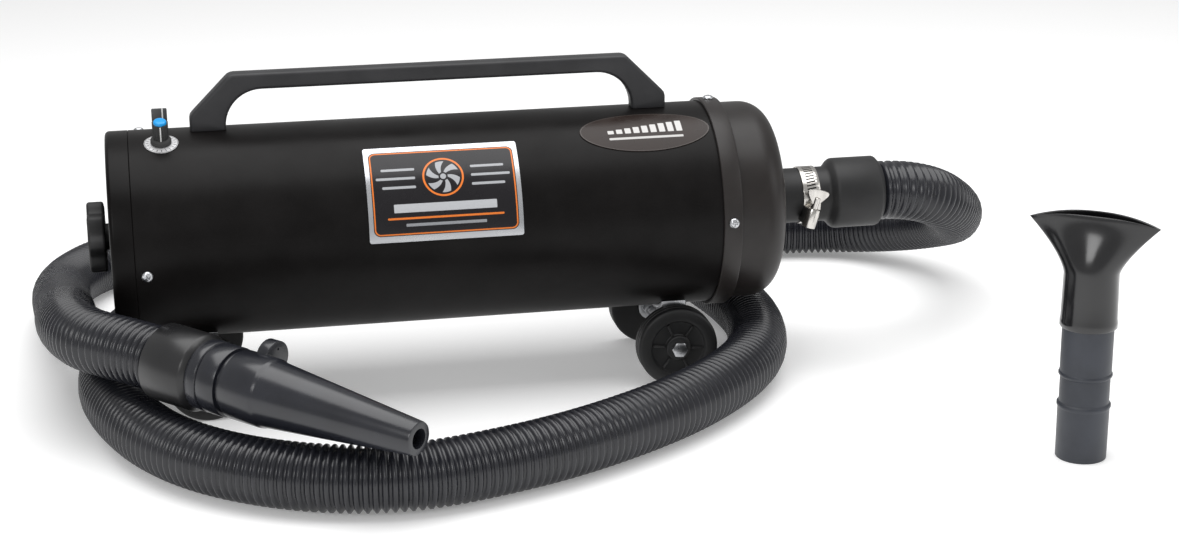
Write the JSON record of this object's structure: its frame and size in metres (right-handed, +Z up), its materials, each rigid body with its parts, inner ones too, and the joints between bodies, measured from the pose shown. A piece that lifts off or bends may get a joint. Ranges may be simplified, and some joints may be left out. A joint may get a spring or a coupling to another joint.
{
  "type": "pet dryer",
  "caption": "Canister pet dryer: steel drum on wheels with carry handle, two blower stages, control knobs, corrugated hose with cone nozzle, and a loose fishtail nozzle.",
  "frame": {"origin": "on the floor, under the middle of the machine and its loose nozzle, the hose left out", "axes": "+X from the air intake end to the outlet end, +Y to the machine's rear, +Z up"},
  "size_m": [0.9681, 0.7815, 0.303],
  "materials": {
    "black_steel": "satin black powder coat",
    "dome_black": "satin black enamel",
    "handle_plastic": "moulded charcoal plastic",
    "zinc": "bright zinc plate",
    "stainless": "stainless steel strip",
    "black_rubber": "moulded black rubber",
    "wheel_black": "moulded solid black wheel",
    "hose_plastic": "corrugated dark grey plastic",
    "nozzle_plastic": "semi-gloss moulded black plastic",
    "knob_black": "moulded black plastic",
    "blue_plastic": "bright blue cap",
    "grey_plastic": "moulded grey plastic",
    "label_face": "printed plate, silver edge, orange line, dark field",
    "badge_face": "dark gloss oval plate",
    "dial_face": "pale dial plate with ticks",
    "filter_foam": "open cell filter foam",
    "board_green": "circuit board",
    "motor_steel": "pressed steel",
    "fan_aluminium": "pressed aluminium"
  },
  "bodies": {
    "machine": {"axle_bolt_front_left": "zinc", "axle_bolt_front_right": "zinc", "axle_bolt_rear_left": "zinc", "axle_bolt_rear_right": "zinc", "bracket_screw_left": "zinc", "bracket_screw_right": "zinc", "cap_screw_1": "zinc", "cap_screw_2": "zinc", "cap_screw_3": "zinc", "carry_handle": "handle_plastic", "control_board": "board_green", "cord_gland": "black_rubber", "dome_screw_1": "zinc", "dome_screw_2": "zinc", "dome_screw_3": "zinc", "dome_screw_4": "zinc", "drum_shell": "black_steel", "filter_stud": "zinc", "handle_screw_left": "zinc", "handle_screw_right": "zinc", "hose": "hose_plastic", "hose_clamp_band": "stainless", "intake_end_cap": "black_steel", "intake_filter": "filter_foam", "label_plate": "label_face", "lock_nut_front_left": "zinc", "lock_nut_front_right": "zinc", "lock_nut_rear_left": "zinc", "lock_nut_rear_right": "zinc", "motor_1": "motor_steel", "motor_2": "motor_steel", "motor_bulkhead_1": "motor_steel", "motor_bulkhead_2": "motor_steel", "nozzle_coupler": "nozzle_plastic", "nozzle_hose_cuff": "black_rubber", "outlet_end_dome": "dome_black", "outlet_hose_cuff": "black_rubber", "outlet_spigot": "dome_black", "power_badge": "badge_face", "rotary_switch_body": "grey_plastic", "speed_control_body": "motor_steel", "speed_dial_plate": "dial_face", "wheel_bracket_left": "zinc", "wheel_bracket_right": "zinc"},
    "speed_knob": {"speed_knob": "knob_black", "speed_knob_cap": "blue_plastic", "speed_shaft": "zinc"},
    "switch_knob": {"switch_knob": "grey_plastic", "switch_shaft": "zinc"},
    "filter_knob": {"filter_knob": "knob_black"},
    "clamp_screw": {"clamp_screw": "stainless"},
    "fan_1": {"fan_rotor_1": "fan_aluminium"},
    "fan_2": {"fan_rotor_2": "fan_aluminium"},
    "nozzle": {"cone_nozzle": "nozzle_plastic"},
    "adapter": {"adapter_tube": "nozzle_plastic"},
    "flare": {"flare_nozzle": "nozzle_plastic"},
    "wheel_front_left": {"wheel_front_left": "wheel_black"},
    "wheel_front_right": {"wheel_front_right": "wheel_black"},
    "wheel_rear_left": {"wheel_rear_left": "wheel_black"},
    "wheel_rear_right": {"wheel_rear_right": "wheel_black"}
  },
  "joints": [
    {"name": "wheel_front_left_spin", "type": "hinge", "parent": "machine", "child": "wheel_front_left", "pos_m": [-0.3392, 0.0541, 0.0375], "axis": [0, 1, 0], "continuous": true},
    {"name": "wheel_front_right_spin", "type": "hinge", "parent": "machine", "child": "wheel_front_right", "pos_m": [0.0938, 0.0541, 0.0375], "axis": [0, 1, 0], "continuous": true},
    {"name": "wheel_rear_left_spin", "type": "hinge", "parent": "machine", "child": "wheel_rear_left", "pos_m": [-0.3392, 0.1807, 0.0375], "axis": [0, 1, 0], "continuous": true},
    {"name": "wheel_rear_right_spin", "type": "hinge", "parent": "machine", "child": "wheel_rear_right", "pos_m": [0.0938, 0.1807, 0.0375], "axis": [0, 1, 0], "continuous": true},
    {"name": "speed_knob_turn", "type": "hinge", "parent": "machine", "child": "speed_knob", "pos_m": [-0.3669, 0.08847, 0.24925], "axis": [0, -0.3007, 0.9537], "range_deg": [-200, 70]},
    {"name": "switch_knob_turn", "type": "hinge", "parent": "machine", "child": "switch_knob", "pos_m": [-0.3669, 0.14615, 0.24868], "axis": [0, 0.3007, 0.9537], "range_deg": [0, 90]},
    {"name": "filter_knob_turn", "type": "hinge", "parent": "machine", "child": "filter_knob", "pos_m": [-0.429, 0.1174, 0.1575], "axis": [-1, 0, 0], "continuous": true},
    {"name": "clamp_screw_turn", "type": "hinge", "parent": "machine", "child": "clamp_screw", "pos_m": [0.229, 0.0779, 0.1457], "axis": [0.2924, 0, 0.9563], "continuous": true},
    {"name": "fan_1_spin", "type": "hinge", "parent": "machine", "child": "fan_1", "pos_m": [-0.3007, 0.1174, 0.1575], "axis": [1, 0, 0], "continuous": true},
    {"name": "fan_2_spin", "type": "hinge", "parent": "machine", "child": "fan_2", "pos_m": [-0.1007, 0.1174, 0.1575], "axis": [1, 0, 0], "continuous": true},
    {"name": "nozzle_pull_off", "type": "slide", "parent": "machine", "child": "nozzle", "axis": [0.7184, -0.6934, -0.055], "range_m": [0, 0.03]},
    {"name": "adapter_lift", "type": "slide", "parent": "machine", "child": "adapter", "axis": [0, 0, 1], "range_m": [0, 0.15]},
    {"name": "flare_pull_off", "type": "slide", "parent": "adapter", "child": "flare", "axis": [0, 0, 1], "range_m": [0, 0.05]}
  ]
}
